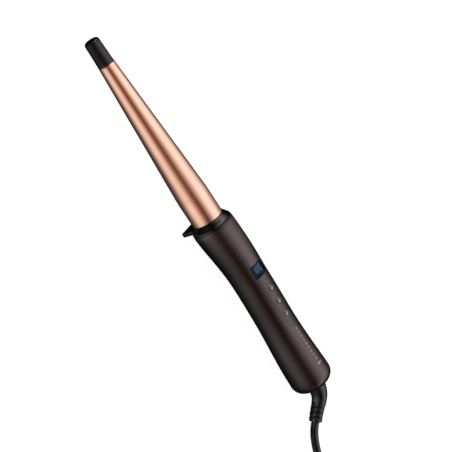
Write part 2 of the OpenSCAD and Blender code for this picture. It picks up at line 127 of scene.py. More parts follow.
class Nodes:
    """A node material or world under construction."""

    def __init__(self, tree):
        self.tree = tree
        tree.nodes.clear()

    def add(self, kind, inputs=None, **settings):
        node = self.tree.nodes.new(kind)
        for key, value in settings.items():
            setattr(node, key, value)
        for key, value in (inputs or {}).items():
            self.put(node, key, value)
        return node

    def put(self, node, key, value):
        socket = node.inputs[key]
        if isinstance(value, bpy.types.NodeSocket):
            self.tree.links.new(value, socket)
        elif isinstance(value, bpy.types.Node):
            self.tree.links.new(value.outputs[0], socket)
        else:
            if hasattr(socket.default_value, "__len__") and len(value) == 3:
                value = (*value, 1)[:len(socket.default_value)]
            socket.default_value = value

    def math(self, operation, a, b=0.0, c=0.0):
        return self.add("ShaderNodeMath", {0: a, 1: b, 2: c}, operation=operation).outputs[0]

    def ramp(self, value, stops):
        node = self.add("ShaderNodeValToRGB", {0: value})
        ramp = node.color_ramp
        while len(ramp.elements) < len(stops):
            ramp.elements.new(0.5)
        for element, (place, colour) in zip(ramp.elements, stops):
            element.position = place
            if not hasattr(colour, "__len__"):
                colour = (colour,) * 3
            element.color = (*colour, 1)
        return node.outputs[0]

    def noise(self, scale, detail=3.0, stretch=(1, 1, 1)):
        where = self.add("ShaderNodeTexCoord").outputs["Object"]
        where = self.add("ShaderNodeMapping", {"Vector": where, "Scale": stretch})
        return self.add("ShaderNodeTexNoise", {
            "Vector": where, "Scale": scale, "Detail": detail}).outputs["Fac"]

    def mix(self, factor, a, b):
        node = self.add("ShaderNodeMix", data_type="RGBA")
        self.put(node, 0, factor)
        self.put(node, 6, a)
        self.put(node, 7, b)
        return node.outputs[2]

    def bump(self, height, distance):
        return self.add("ShaderNodeBump", {"Height": height, "Distance": distance}).outputs[0]


def new_material(name):
    mat = bpy.data.materials.new(name)
    mat.use_nodes = True
    return mat, Nodes(mat.node_tree)


def finish_material(n, **inputs):
    shader = n.add("ShaderNodeBsdfPrincipled",
                   {key.replace("_", " "): value for key, value in inputs.items()})
    n.add("ShaderNodeOutputMaterial", {"Surface": shader})


GRAIN_HEIGHT = 0.00002


def moulded(name, colour, rough, grain=0.25, spread=0.12, shine=0.5):
    """Moulded or lacquered plastic: fine grain, patches of colour and of gloss."""
    mat, n = new_material(name)
    patches = n.noise(60)
    grainy = n.noise(1400, detail=2)
    dark = [c * (1 - spread) for c in colour]
    light = [min(c * (1 + spread), 1) for c in colour]
    gloss = n.math("MULTIPLY_ADD", patches, rough * 0.3, rough * 0.85)
    finish_material(
        n, Base_Color=n.mix(patches, dark, light), Roughness=gloss,
        Specular_IOR_Level=shine, Normal=n.bump(grainy, GRAIN_HEIGHT * grain))
    return mat


def metal(name, colour, rough, brushed, stretch=(1, 1, 1)):
    """Machined or plated metal, brushed where stretch is uneven."""
    mat, n = new_material(name)
    lines = n.noise(500, stretch=stretch)
    patches = n.noise(90)
    dark = [c * 0.9 for c in colour]
    finish_material(
        n, Base_Color=n.mix(patches, dark, colour), Metallic=1.0,
        Roughness=n.math("MULTIPLY_ADD", lines, rough * 0.4, rough * 0.8),
        Normal=n.bump(lines, GRAIN_HEIGHT * brushed))
    return mat


def copper_coat():
    """Ceramic coated barrel: copper tint, fine lengthwise grain, glossy top coat."""
    mat, n = new_material("copper_coat")
    grain = n.noise(900, stretch=(0.08, 1, 1))
    patches = n.noise(35)
    finish_material(
        n, Base_Color=n.mix(patches, (0.94, 0.53, 0.375), (0.97, 0.57, 0.41)), Metallic=1.0,
        Roughness=n.math("MULTIPLY_ADD", grain, 0.05, 0.12),
        Normal=n.bump(grain, 0.0000004),
        Coat_Weight=0.25, Coat_Roughness=0.1)
    return mat


def plum_satin(name, tint):
    """Satin metallic lacquer with fine flakes."""
    mat, n = new_material(name)
    where = n.add("ShaderNodeTexCoord").outputs["Object"]
    flakes = n.add("ShaderNodeTexVoronoi", {"Vector": where, "Scale": 5200}).outputs["Color"]
    flake = n.add("ShaderNodeSeparateColor", {0: flakes}).outputs[0]
    patches = n.noise(45)
    base = n.mix(flake, [c * 0.82 for c in tint], [c * 1.18 for c in tint])
    finish_material(
        n, Base_Color=base, Metallic=1.0,
        Roughness=n.math("MULTIPLY_ADD", patches, 0.05, 0.25),
        Normal=n.bump(n.noise(2600, detail=2), 0.0000012))
    return mat


def rubber(name, colour, rough):
    """Soft cord rubber and wire insulation, a little uneven."""
    mat, n = new_material(name)
    patches = n.noise(120)
    grainy = n.noise(2400, detail=4)
    finish_material(
        n, Base_Color=n.mix(patches, [c * 0.75 for c in colour], [c * 1.3 for c in colour]),
        Roughness=n.math("MULTIPLY_ADD", patches, 0.12, rough),
        Normal=n.bump(grainy, 0.000004), Specular_IOR_Level=0.62)
    return mat


def lens_material():
    """Smoked clear window: dark tint with a faint gloss."""
    mat, n = new_material("lens_clear")
    haze = n.noise(800, detail=2)
    clear = n.add("ShaderNodeBsdfTransparent", {"Color": (0.62, 0.70, 0.78)})
    gloss = n.add("ShaderNodeBsdfGlossy", {
        "Color": (0.5, 0.55, 0.6), "Roughness": n.math("MULTIPLY_ADD", haze, 0.04, 0.12)})
    amount = n.add("ShaderNodeFresnel", {"IOR": 1.18})
    mixed = n.add("ShaderNodeMixShader", {0: amount, 1: clear, 2: gloss})
    n.add("ShaderNodeOutputMaterial", {"Surface": mixed})
    return mat


def lcd_material():
    """Lit liquid crystal panel, brightest at its middle."""
    mat, n = new_material("lcd_blue")
    low, high = (Vector(v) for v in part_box("lcd_glass"))
    middle, half = (low + high) / 2, (high - low) / 2
    where = n.add("ShaderNodeTexCoord").outputs["Object"]
    where = n.add("ShaderNodeVectorMath", {0: where, 1: middle}, operation="SUBTRACT")
    where = n.add("ShaderNodeVectorMath", {
        0: where.outputs[0], 1: (1 / half.x, 1 / half.y, 0)}, operation="MULTIPLY")
    away = n.add("ShaderNodeVectorMath", {0: where.outputs[0]}, operation="LENGTH")
    colour = n.ramp(away.outputs["Value"], [
        (0.0, (0.006, 0.035, 0.040)), (0.6, (0.012, 0.028, 0.033)), (1.0, (0.013, 0.021, 0.026))])
    rows = n.noise(3000, detail=1)
    finish_material(
        n, Base_Color=colour, Roughness=n.math("MULTIPLY_ADD", rows, 0.1, 0.3),
        Emission_Color=colour, Emission_Strength=0.35, Specular_IOR_Level=0.2)
    return mat


def circuit_material():
    """Green solder resist over copper tracks."""
    mat, n = new_material("circuit_green")
    where = n.add("ShaderNodeTexCoord").outputs["Object"]
    cells = n.add("ShaderNodeTexVoronoi", {"Vector": where, "Scale": 420},
                  feature="DISTANCE_TO_EDGE").outputs["Distance"]
    tracks = n.ramp(cells, [(0.0, 1.0), (0.06, 1.0), (0.09, 0.0)])
    finish_material(
        n, Base_Color=n.mix(tracks, (0.02, 0.13, 0.05), (0.05, 0.24, 0.09)), Roughness=0.35,
        Normal=n.bump(tracks, 0.00003))
    return mat


# Colour, roughness, and then grain, spread and shine, as moulded() takes them
MOULDED = {
    "tip_black": ((0.0016, 0.0022, 0.0022), 0.22, 0.12),
    "gloss_black": ((0.0012, 0.0015, 0.0015), 0.2, 0.05),
    "border_navy": ((0.001, 0.004, 0.009), 0.3, 0.05, 0.12, 0.15),
    "lcd_digit": ((0.25, 0.52, 0.66), 0.4),
    "diffuser_white": ((0.82, 0.9, 0.95), 0.5),
    "white_plastic": ((0.75, 0.75, 0.73), 0.45),
    "dark_plastic": ((0.012, 0.012, 0.013), 0.45),
    "amber_phenolic": ((0.16, 0.07, 0.03), 0.5, 0.25, 0.3),
    "ceramic": ((0.78, 0.72, 0.62), 0.55, 0.8),
    "yellow_film": ((0.62, 0.36, 0.03), 0.3),
    "blue_sleeve": ((0.02, 0.05, 0.14), 0.35),
    "red_plunger": ((0.30, 0.03, 0.02), 0.45),
}
# Colour, roughness, brushing and its stretch
METALS = {
    "rose_metal": ((0.25, 0.21, 0.205), 0.32, 0.02),
    "rose_foil": ((0.30, 0.235, 0.21), 0.34, 0.05),
    "rose_bar": ((0.42, 0.34, 0.33), 0.3, 0.05),
    "aluminium": ((0.80, 0.80, 0.81), 0.38, 0.3, (0.05, 1, 1)),
    "steel": ((0.66, 0.66, 0.67), 0.26, 0.1),
    "brass": ((0.80, 0.58, 0.24), 0.25, 0.1),
}
RUBBERS = {
    "wire_white": ((0.70, 0.70, 0.66), 0.6),
    "wire_yellow": ((0.60, 0.47, 0.18), 0.6),
    "wire_brown": ((0.12, 0.045, 0.02), 0.5),
    "cord_rubber": ((0.002, 0.0021, 0.0022), 0.14),
    "plug_rubber": ((0.004, 0.004, 0.0045), 0.36),
}
# plum_panel is a slightly darker copy of plum_satin: painted shade over the control panel, where
# the handle's bright band falls off
PLUMS = {"plum_satin": [(0.106, 0.083, 0.081)], "plum_panel": [(0.094, 0.075, 0.074)]}
MATERIALS = {"copper_coat": copper_coat(), "lens_clear": lens_material(),
             "lcd_blue": lcd_material(), "circuit_green": circuit_material()}
for make, kinds in ((moulded, MOULDED), (metal, METALS), (rubber, RUBBERS),
                    (plum_satin, PLUMS)):
    MATERIALS.update({name: make(name, *look) for name, look in kinds.items()})

for part in frame["record"]["subparts"]:
    mesh = NODES[part["node"]].data
    mesh.materials.clear()
    mesh.materials.append(MATERIALS[part["material_slot"]])

# ---- mesh building


def build(name, verts, faces, look, body, replaced=(), sharp=38):
    """A piece from vertices in metres in the shared frame."""
    mesh = bpy.data.meshes.new(name)
    mesh.from_pydata([tuple(v) for v in verts], [], faces)
    work = bmesh.new()
    work.from_mesh(mesh)
    bmesh.ops.remove_doubles(work, verts=work.verts, dist=2e-7)
    bmesh.ops.dissolve_degenerate(work, edges=work.edges, dist=1e-7)
    work.to_mesh(mesh)
    work.free()
    mesh.shade_smooth()
    mesh.set_sharp_from_angle(angle=math.radians(sharp))
    piece = bpy.data.objects.new(name, mesh)
    bpy.context.scene.collection.objects.link(piece)
    piece.data.materials.append(MATERIALS[look])
    if body:
        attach(piece, body)
    if replaced:
        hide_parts(*replaced)
    return piece


def arc_corner(before, corner, after, radius, step=10.0):
    """Points of a round of that radius in place of a corner."""
    before, corner, after = (np.asarray(p, float) for p in (before, corner, after))
    u = (before - corner) / np.linalg.norm(before - corner)
    v = (after - corner) / np.linalg.norm(after - corner)
    inside = math.acos(max(-1, min(1, float(u @ v))))
    if radius <= 0 or inside > math.radians(179):
        return [corner]
    cut = radius / math.tan(inside / 2)
    centre = corner + (u + v) / np.linalg.norm(u + v) * radius / math.sin(inside / 2)
    start, end = corner + u * cut - centre, corner + v * cut - centre
    sweep = math.pi - inside
    count = max(2, round(math.degrees(sweep) / step))
    turn = math.copysign(sweep, start[0] * end[1] - start[1] * end[0])
    points = []
    for i in range(count + 1):
        a = turn * i / count
        points.append(centre + np.array([
            start[0] * math.cos(a) - start[1] * math.sin(a),
            start[0] * math.sin(a) + start[1] * math.cos(a)]))
    return points


def rounded(corners, step=10.0):
    """A closed outline of (x, y, corner radius) as a list of points."""
    points = []
    for i, (x, y, radius) in enumerate(corners):
        before = corners[i - 1][:2]
        after = corners[(i + 1) % len(corners)][:2]
        points += arc_corner(before, (x, y), after, radius, step)
    return np.array(points)


def dense(outline, spacing):
    """The same closed outline with no side longer than spacing."""
    points = []
    for a, b in zip(outline, np.roll(outline, -1, axis=0)):
        count = max(1, math.ceil(np.linalg.norm(b - a) / spacing))
        points += [a + (b - a) * i / count for i in range(count)]
    return np.array(points)


def ccw(outline):
    x, y = outline[:, 0], outline[:, 1]
    area = float(np.sum(x * np.roll(y, -1) - np.roll(x, -1) * y))
    return outline if area > 0 else outline[::-1]


def offset(loop, distance):
    """The loop moved to its left by distance."""
    before = loop - np.roll(loop, 1, axis=0)
    after = np.roll(loop, -1, axis=0) - loop
    before /= np.linalg.norm(before, axis=1)[:, None]
    after /= np.linalg.norm(after, axis=1)[:, None]
    mean = before + after
    mean /= np.linalg.norm(mean, axis=1)[:, None]
    mitre = 1 / np.clip(np.sum(mean * after, axis=1), 0.6, 1)
    return loop + np.stack([-mean[:, 1], mean[:, 0]], axis=1) * (distance * mitre)[:, None]


def lathe(name, profile, look, body, replaced=(), z=0.0, sides=144, upright=None):
    """A closed profile of (along, radius) turned about the wand's axis, or about an
    upright line at x = upright."""
    profile = np.asarray(profile)
    rings = []
    for i in range(sides):
        a = 2 * math.pi * i / sides
        along, r = profile[:, 0], profile[:, 1]
        if upright is None:
            ring = np.stack([along, r * math.sin(a), z + r * math.cos(a)], axis=1)
        else:
            ring = np.stack([upright + r * math.cos(a), r * math.sin(a), along], axis=1)
        rings.append(ring)
    verts = placed(np.concatenate(rings))
    n = len(profile)
    faces = []
    for i in range(sides):
        for k in range(n):
            m = (k + 1) % n
            if profile[k, 1] < 1e-6 and profile[m, 1] < 1e-6:
                continue
            a, b = i * n, (i + 1) % sides * n
            faces.append((a + k, a + m, b + m, b + k))
    outward(build(name, verts, faces, look, body, replaced))


def outward(piece):
    """Turns every face of a closed piece outwards."""
    work = bmesh.new()
    work.from_mesh(piece.data)
    bmesh.ops.recalc_face_normals(work, faces=work.faces)
    work.to_mesh(piece.data)
    work.free()


def skinned(name, rings, look, body, replaced=(), sharp=38, closed=False):
    """A skin over rings of points in metres, capped at both ends, or with its last ring
    joined to its first where it is closed."""
    count = len(rings[0])
    verts = np.concatenate(rings)
    faces = []
    for k in range(len(rings) if closed else len(rings) - 1):
        m = (k + 1) % len(rings)
        for i in range(count):
            j = (i + 1) % count
            faces.append((k * count + i, m * count + i, m * count + j, k * count + j))
    if not closed:
        faces.append(tuple(range(count)))
        faces.append(tuple(range(len(verts) - 1, len(verts) - count - 1, -1)))
    piece = build(name, verts, faces, look, body, replaced, sharp=sharp)
    outward(piece)
    return piece


def tube(name, path, radius, look, body, replaced=(), sides=20):
    """A round tube along a path in metres, with capped ends."""
    path = np.asarray(path)
    tangents = np.gradient(path, axis=0)
    tangents /= np.linalg.norm(tangents, axis=1)[:, None]
    side = np.cross(tangents[0], (0, 0, 1))
    rings = []
    for p, t in zip(path, tangents):
        side = side - t * (side @ t)
        side /= np.linalg.norm(side)
        up = np.cross(side, t)
        angles = [2 * math.pi * i / sides for i in range(sides)]
        rings.append([p + radius * (math.cos(a) * side + math.sin(a) * up) for a in angles])
    return skinned(name, rings, look, body, replaced)


def smooth_path(points, spacing):
    """A curve through the points, sampled evenly."""
    p = np.asarray(points, float)
    p = np.vstack([2 * p[0] - p[1], p, 2 * p[-1] - p[-2]])
    fine = []
    for i in range(1, len(p) - 2):
        knots = [0.0]
        for a, b in zip(p[i - 1:i + 2], p[i:i + 3]):
            knots.append(knots[-1] + math.sqrt(np.linalg.norm(b - a)))
        t0, t1, t2, t3 = knots
        for t in np.linspace(t1, t2, 24, endpoint=False):
            a1 = (t1 - t) / (t1 - t0) * p[i - 1] + (t - t0) / (t1 - t0) * p[i]
            a2 = (t2 - t) / (t2 - t1) * p[i] + (t - t1) / (t2 - t1) * p[i + 1]
            a3 = (t3 - t) / (t3 - t2) * p[i + 1] + (t - t2) / (t3 - t2) * p[i + 2]
            b1 = (t2 - t) / (t2 - t0) * a1 + (t - t0) / (t2 - t0) * a2
            b2 = (t3 - t) / (t3 - t1) * a2 + (t - t1) / (t3 - t1) * a3
            fine.append((t2 - t) / (t2 - t1) * b1 + (t - t1) / (t2 - t1) * b2)
    fine.append(p[-2])
    return even(np.array(fine), spacing)


def even(points, spacing):
    steps = np.linalg.norm(np.diff(points, axis=0), axis=1)
    along = np.concatenate([[0], np.cumsum(steps)])
    count = max(2, round(along[-1] / spacing))
    want = np.linspace(0, along[-1], count + 1)
    return np.stack([np.interp(want, along, points[:, k]) for k in range(3)], axis=1)


# ---- camera

CAM_TURN, CAM_ELEVATION = math.radians(17.3), math.radians(48)
CAM_DISTANCE, CAM_LENS = 1800.0, 193.7
AIM_ALONG, AIM_UP = 12.7, 8.4
CAM_ROLL = math.radians(33.224)


def place_camera():
    """Aims along the view, then rolls until the wand hangs CAM_ROLL from upright."""
    forward = Vector((math.sin(CAM_TURN), math.cos(CAM_TURN) * math.cos(CAM_ELEVATION),
                      -math.cos(CAM_TURN) * math.sin(CAM_ELEVATION)))
    along = (Vector((1, 0, 0)) - forward * forward.x).normalized()
    across = along.cross(forward)
    if across.z < 0:
        across = -across
    aim = Vector((AIM_ALONG, 0, 0)) + across * AIM_UP
    eye = aim - forward * CAM_DISTANCE
    right = along * math.sin(CAM_ROLL) + across * math.cos(CAM_ROLL)
    up = -along * math.cos(CAM_ROLL) + across * math.sin(CAM_ROLL)
    right, up, back = turned(right), turned(up), turned(-forward)
    place = placed(eye)[0]
    camera = bpy.data.objects.new("camera", bpy.data.cameras.new("camera"))
    camera.data.lens = CAM_LENS
    camera.data.clip_end = 20
    camera.matrix_world = Matrix((
        (right.x, up.x, back.x, place[0]),
        (right.y, up.y, back.y, place[1]),
        (right.z, up.z, back.z, place[2]),
        (0, 0, 0, 1)))
    bpy.context.scene.collection.objects.link(camera)
    bpy.context.scene.camera = camera


place_camera()

# ---- cord

CORD_D, CORD_LENGTH = 6.2, 1.8
CORD_R = CORD_D / 2
SLEEVE_ROUTE = [
    *(placed([[151, 0, -REAR_DROP], [158, 0, -REAR_DROP]]) * 1000).tolist(),
    (162.8, -0.4, 15.9), (167, -1.5, 14.8), (170.8, -3.7, 13.2), (174.4, -6.8, 11.1),
    (178.1, -10, 9), (182.4, -13.4, 6.8)]
SLEEVE_END = np.array(SLEEVE_ROUTE[-1])
SLEEVE_DIR = SLEEVE_END - np.array(SLEEVE_ROUTE[-2])
SLEEVE_DIR /= np.linalg.norm(SLEEVE_DIR)
CORD_ROUTE = [
    SLEEVE_END - 2 * SLEEVE_DIR, SLEEVE_END + 1 * SLEEVE_DIR, SLEEVE_END + 4 * SLEEVE_DIR,
    (190, -19.3, 3.9), (196, -23.2, 3.2), (203, -27.2, CORD_R), (212, -31.2, CORD_R),
    (223, -35.2, CORD_R), (235, -38.1, CORD_R), (247, -39.5, CORD_R)]
LOOP_X, LOOP_Y, HANK_RUN = 258.0, -15.0, 94.0
PLUG_START, PLUG_TURN = np.array((275.6, -28.4, 26.6)), math.radians(20)
PLUG_DIR = np.array((math.cos(PLUG_TURN), math.sin(PLUG_TURN), 0))
TAIL_ROUTE = [
    (239.4, -15, 17.6), (242.6, -25.4, 20.2), (249.6, -31.6, 22.8), (258, -33.4, 25),
    PLUG_START - 9 * PLUG_DIR, PLUG_START, PLUG_START + 4 * PLUG_DIR]

# Loop radius and height of each turn of the hank, in cord radii, and where each turn
# shifts to the next one's place, as a part of a turn
TURNS = [(8, 1), (6, 1), (6, 3), (8, 3), (6, 5)]
SHIFTS = [0.86, 0.72, 0.58, 0.44]
SHIFT_LEN = 0.13
FIRST_TURN_START, LAST_TURN_END, TURN_STEPS = 0.02, 0.86, 40


def hank_point(turn, radius, height):
    """A point of the hank, turn being 0 to 1 round from the left loop's bottom."""
    run, loop = 0.3, 0.2
    half, turn = divmod(turn * 2, 1)
    turn /= 2
    if turn < run:
        x = HANK_RUN * turn / run
        waist = radius - 5 * CORD_R
        y = -(waist + (radius - waist) * (1 + math.cos(2 * math.pi * turn / run)) / 2)
    else:
        a = math.pi * (turn - run) / loop
        x, y = HANK_RUN + radius * math.sin(a), -radius * math.cos(a)
    if half:
        x, y = HANK_RUN - x, -y
    return np.array((LOOP_X + x, LOOP_Y + y, height))


def smooth_step(t):
    t = min(max(t, 0.0), 1.0)
    return t * t * (3 - 2 * t)


def hank_points():
    points = []
    for k, (radius, height) in enumerate(TURNS):
        start = FIRST_TURN_START if k == 0 else 0.0
        end = LAST_TURN_END if k == len(TURNS) - 1 else 1.0
        for i in range(math.ceil(start * TURN_STEPS), math.floor(end * TURN_STEPS)):
            t = i / TURN_STEPS
            r, h = radius, height
            if k < len(SHIFTS):
                next_r, next_h = TURNS[k + 1]
                done = (t - SHIFTS[k]) / SHIFT_LEN
                lift = min(done * 1.8, 1) if next_h > height else done
                inward = max(done * 1.8 - 0.8, 0) if next_h > height else done
                h += (next_h - height) * smooth_step(lift)
                r += (next_r - radius) * smooth_step(inward)
            points.append(hank_point(t, r * CORD_R, h * CORD_R))
    return points


TIE_X, TIE_W, TIE_T = LOOP_X + HANK_RUN / 2, 8.0, 1.0


def tie_lift(points):
    """The turns rise a little where they pass over the tie."""
    points = np.array(points)
    near = (np.abs(points[:, 1] - LOOP_Y) < 20) & (points[:, 0] > LOOP_X)
    lift = (TIE_T + 0.1) * np.exp(-(((points[:, 0] - TIE_X) / 16)**2))
    points[:, 2] += np.where(near, lift, 0)
    return points


cord_path = smooth_path([*CORD_ROUTE, *hank_points(), *TAIL_ROUTE], 1.6)
cord_path = tie_lift(cord_path) / 1000
cord = tube("mains_cord", cord_path, CORD_R / 1000, "cord_rubber", None,
            replaced=("power_cord", "cord_hank", "cord_tail"), sides=24)
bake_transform(cord)


GROOVE_TURN = math.radians(50)
SLEEVE_RADII = [7.1, 7.1, 6.8, 6.25, 5.75, 5.4, 5.2, 5.0]
GROOVES_FROM_END = (3.9, 7.9, 12.0)
GROOVE_W, GROOVE_DEPTH = 1.6, 0.95


def stretched(path, stations, sides=64):
    """Rings of a tube at (distance along the path, radius, groove depth) stations. A
    groove is deepest at GROOVE_TURN round from level and shallow a quarter turn on."""
    path = np.asarray(path, float)
    steps = np.linalg.norm(np.diff(path, axis=0), axis=1)
    along = np.concatenate([[0], np.cumsum(steps)])
    tangents = np.gradient(path, axis=0)
    tangents /= np.linalg.norm(tangents, axis=1)[:, None]
    sideways = [np.cross(tangents[0], (0, 0, 1))]
    for t in tangents:
        side = sideways[-1] - t * (sideways[-1] @ t)
        sideways.append(side / np.linalg.norm(side))
    sideways = np.array(sideways[1:])
    rings = []
    for at, r, cut in stations:
        centre, t, side = (np.array([np.interp(at, along, v[:, k]) for k in range(3)])
                           for v in (path, tangents, sideways))
        up = np.cross(side, t)
        a = np.linspace(0, 2 * math.pi, sides, endpoint=False)[:, None]
        r = r - cut * (0.25 + 0.75 * np.cos(a - GROOVE_TURN)**2)
        rings.append(centre + r * (np.cos(a) * side + np.sin(a) * up))
    return rings


def groove(distance, width, depth):
    """Depth of a soft groove at a distance from its middle."""
    if abs(distance) >= width / 2:
        return 0.0
    return depth * (0.5 + 0.5 * math.cos(2 * math.pi * distance / width))**0.7


def strain_relief():
    route = np.array(SLEEVE_ROUTE)
    path = smooth_path(route, 0.4)
    marks = []
    for p in route:
        nearest = int(np.argmin(np.linalg.norm(path - p, axis=1)))
        marks.append(float(np.linalg.norm(np.diff(path[:nearest + 1], axis=0), axis=1).sum()))
    end = marks[-1]
    stations = []
    for at in np.arange(0, end - 0.5, 0.17):
        cut = sum(groove(end - at - g, GROOVE_W, GROOVE_DEPTH) for g in GROOVES_FROM_END)
        stations.append((at, np.interp(at, marks, SLEEVE_RADII), cut))
    rim = SLEEVE_RADII[-1]
    for a in (0, 25, 50, 75, 90):
        a = math.radians(a)
        stations.append((end - 0.5 + 0.5 * math.sin(a), rim - 0.5 + 0.5 * math.cos(a), 0))
    hole = CORD_R + 0.18
    stations += [(end, hole + 0.3, 0), (end - 0.1, hole + 0.1, 0), (end - 0.35, hole, 0),
                 (end - 5, hole, 0)]
    skinned("strain_relief_sleeve", [r / 1000 for r in stretched(path, stations)],
            "cord_rubber", "swivel", ["strain_relief"])


strain_relief()


def hull(circles, radius, step=12):
    """Outline round circles of that radius, as points in a plane."""
    angles = np.radians(np.arange(0, 360, step))
    points = [np.array(c) + radius * np.array((math.cos(a), math.sin(a)))
              for c in circles for a in angles]
    order = geometry.convex_hull_2d([Vector(p) for p in points])
    return ccw(np.array([points[i] for i in order]))


def tie_strap():
    """A rubber band pulled round the turns at the hank's waist."""
    lift = TIE_T + 0.1
    circles = [(s * k * CORD_R, h * CORD_R + lift) for s in (-1, 1)
               for k, h in ((3, 1), (3, 3), (1, 5))]
    across = np.linspace(-1, 1, 9)
    section = [(a * (TIE_W / 2 - 0.3), 1.0) for a in across]
    rings = []
    for x, r in ([(-TIE_W / 2, 0.35)] + section + [(TIE_W / 2, 0.35), (TIE_W / 2 - 0.3, 0.05)]
                 + [(-TIE_W / 2 + 0.3, 0.05)]):
        loop = hull(circles, CORD_R + r)
        rings.append([(TIE_X + x, LOOP_Y + p[0], max(p[1], 0)) for p in loop])
    skinned("tie_strap", np.array(rings) / 1000, "cord_rubber", "wand", ["cord_tie"],
            closed=True)


tie_strap()

PLUG_HALF_T, PLUG_NECK = 6.85, 20
PLUG_SIDES = [(20, 5.6, 5.6), (24, 6.8, 6.1), (28, 8.5, 6.5), (33, 12.2, 6.75),
              (38, 15.6, PLUG_HALF_T), (42, 17.2, PLUG_HALF_T), (46, 17.65, PLUG_HALF_T),
              (54.6, 17.65, PLUG_HALF_T), (55.6, 17.1, 6.4), (56, 15.9, 5.2)]


def plug():
    """A flat two-pin plug with a grooved sleeve."""
    side = np.array((-PLUG_DIR[1], PLUG_DIR[0], 0))
    rows = []
    for at in np.arange(0, PLUG_NECK, 0.25):
        r = 4.1 + 1.5 * at / PLUG_NECK - sum(groove(at - g, 1.8, 0.7) for g in (4, 7.2, 10.4, 13.6))
        rows.append((at, r, r))
    fine = np.arange(PLUG_NECK, 54.6, 0.8)
    at, w, h = np.array(PLUG_SIDES).T
    rows += [(a, np.interp(a, at, w), np.interp(a, at, h)) for a in fine]
    rows += PLUG_SIDES[-3:]
    rings = []
    a = np.linspace(0, 2 * math.pi, 72, endpoint=False)
    for at, w, h in rows:
        square = 2 / (2 + 2.2 * smooth_step((at - PLUG_NECK) / 16))
        u = w * np.sign(np.cos(a)) * np.abs(np.cos(a))**square
        v = h * np.sign(np.sin(a)) * np.abs(np.sin(a))**square
        rings.append((PLUG_START + PLUG_DIR * at + u[:, None] * side
                      + v[:, None] * np.array((0, 0, 1))) / 1000)
    skinned("plug_moulding", rings, "plug_rubber", "wand", ["plug_body"])


plug()

# ---- light and floor

FLOOR_HALF, WALL_R, AXIS_Z = 6.0, 5.5, 24.0


def stage_mesh(name, verts, faces, mat, unseen_by):
    """A mesh in metres that isn't part of the object, left out of some kinds of ray."""
    mesh = bpy.data.meshes.new(name)
    mesh.from_pydata(verts, [], faces)
    mesh.materials.append(mat)
    thing = bpy.data.objects.new(name, mesh)
    bpy.context.scene.collection.objects.link(thing)
    for way in unseen_by:
        setattr(thing, f"visible_{way}", False)
    return thing


def make_floor():
    mat, n = new_material("floor")
    finish_material(n, Base_Color=(0.08, 0.08, 0.08), Roughness=0.9, Specular_IOR_Level=0.0,
                    Emission_Color=(1, 1, 1), Emission_Strength=0.97)
    h = FLOOR_HALF
    floor = stage_mesh("floor", [(-h, -h, 0), (h, -h, 0), (h, h, 0), (-h, h, 0)],
                       [(0, 1, 2, 3)], mat, ["glossy"])


def backdrop():
    """A pale round wall behind everything, which lights nothing and shows in no gloss."""
    turns = np.radians(np.arange(0, 360, 5))
    verts = [(WALL_R * math.cos(a), WALL_R * math.sin(a), z) for a in turns
             for z in (0, WALL_R)]
    count = len(verts)
    faces = [(i, (i + 2) % count, (i + 3) % count, i + 1) for i in range(0, count, 2)]
    mat, n = new_material("backdrop")
    glow = n.add("ShaderNodeEmission", {"Color": (1, 1, 1), "Strength": 1.0})
    n.add("ShaderNodeOutputMaterial", {"Surface": glow})
    wall = stage_mesh("backdrop", verts, faces, mat,
                      ("glossy", "diffuse", "shadow", "transmission", "volume_scatter"))


make_floor()
backdrop()

# Long soft lights beside the wand, as bands of the sky round its axis. The angle runs
# from the front horizon (0) over the top (90) to the back horizon (180). The dark room
# between them is warm. An ALONG list dims a light by how far a ray runs towards the cord.
WARM = np.array((1.0, 0.52, 0.30))
BAND_STEP = 6


def eased(angle, start, full, full_end, end):
    """0 before start, 1 from full to full_end and 0 after end, eased between them."""
    rise = ease((angle - start) / (full - start))
    return float(rise * (1 - ease((angle - full_end) / (end - full_end))))


def soft_light(strength, *shape):
    """Stops of a band of light, from where it starts to where it ends."""
    start, end = shape[0], shape[-1]
    angles = np.linspace(start, end, math.ceil((end - start) / BAND_STEP) + 1)
    return [(a, strength * eased(a, *shape)) for a in angles]


FRONT_BOX = soft_light(1.02, -67, -10, -6, 46)
FLOOR_GLOW = soft_light(0.10, -110, -66, -64, -20)
BACK_BOX = soft_light(1.49, 46, 117, 122, 178)
FLOOR_BEHIND = soft_light(0.09, 162, 175, 179, 180)
DARK_BAND = soft_light(0.185, -12, 46, 50, 102)
# The rim light runs on past the back horizon, which is both 180 and -180.
RIM_SHAPE, RIM_STRENGTH = (140, 155, 157, 215), 0.36
RIM_ANGLES = (*np.linspace(-180, RIM_SHAPE[-1] - 360, 6), *np.linspace(RIM_SHAPE[0], 180, 9))
RIM_BAND = [(a, RIM_STRENGTH * eased(a % 360, *RIM_SHAPE)) for a in RIM_ANGLES]
FRONT_ALONG = [(-0.5, 0.12), (-0.25, 2.0), (0.0, 0.6), (0.08, 1.0), (0.20, 1.0),
               (0.235, 0.9), (0.275, 0.34), (0.35, 0.28), (0.8, 0.25)]
BACK_ALONG = [(-0.9, 0.1), (-0.75, 1.0), (-0.65, 2.2), (-0.5, 2.2), (-0.3, 0.15),
              (0.06, 0.15), (0.12, 1.0), (0.205, 1.0), (0.235, 0.88), (0.265, 0.96)]
RIM_ALONG = [(0.06, 0.0), (0.12, 0.75), (0.20, 0.85), (0.25, 1.2), (0.285, 1.25),
             (0.30, 0.8), (0.32, 0.0)]
DARK_ALONG = [(-0.9, 0.1), (0.05, 0.1), (0.12, 1.0), (0.26, 1.0), (0.32, 0.4), (0.5, 0.3)]


def ray_angle(n, where):
    """0 to 1 round the wand's axis, and the component along it."""
    x, y, z = n.add("ShaderNodeSeparateXYZ", {0: where}).outputs
    angle = n.math("ARCTAN2", z, n.math("MULTIPLY", y, -1.0))
    return n.math("MULTIPLY_ADD", angle, 1 / (2 * math.pi), 0.5), x


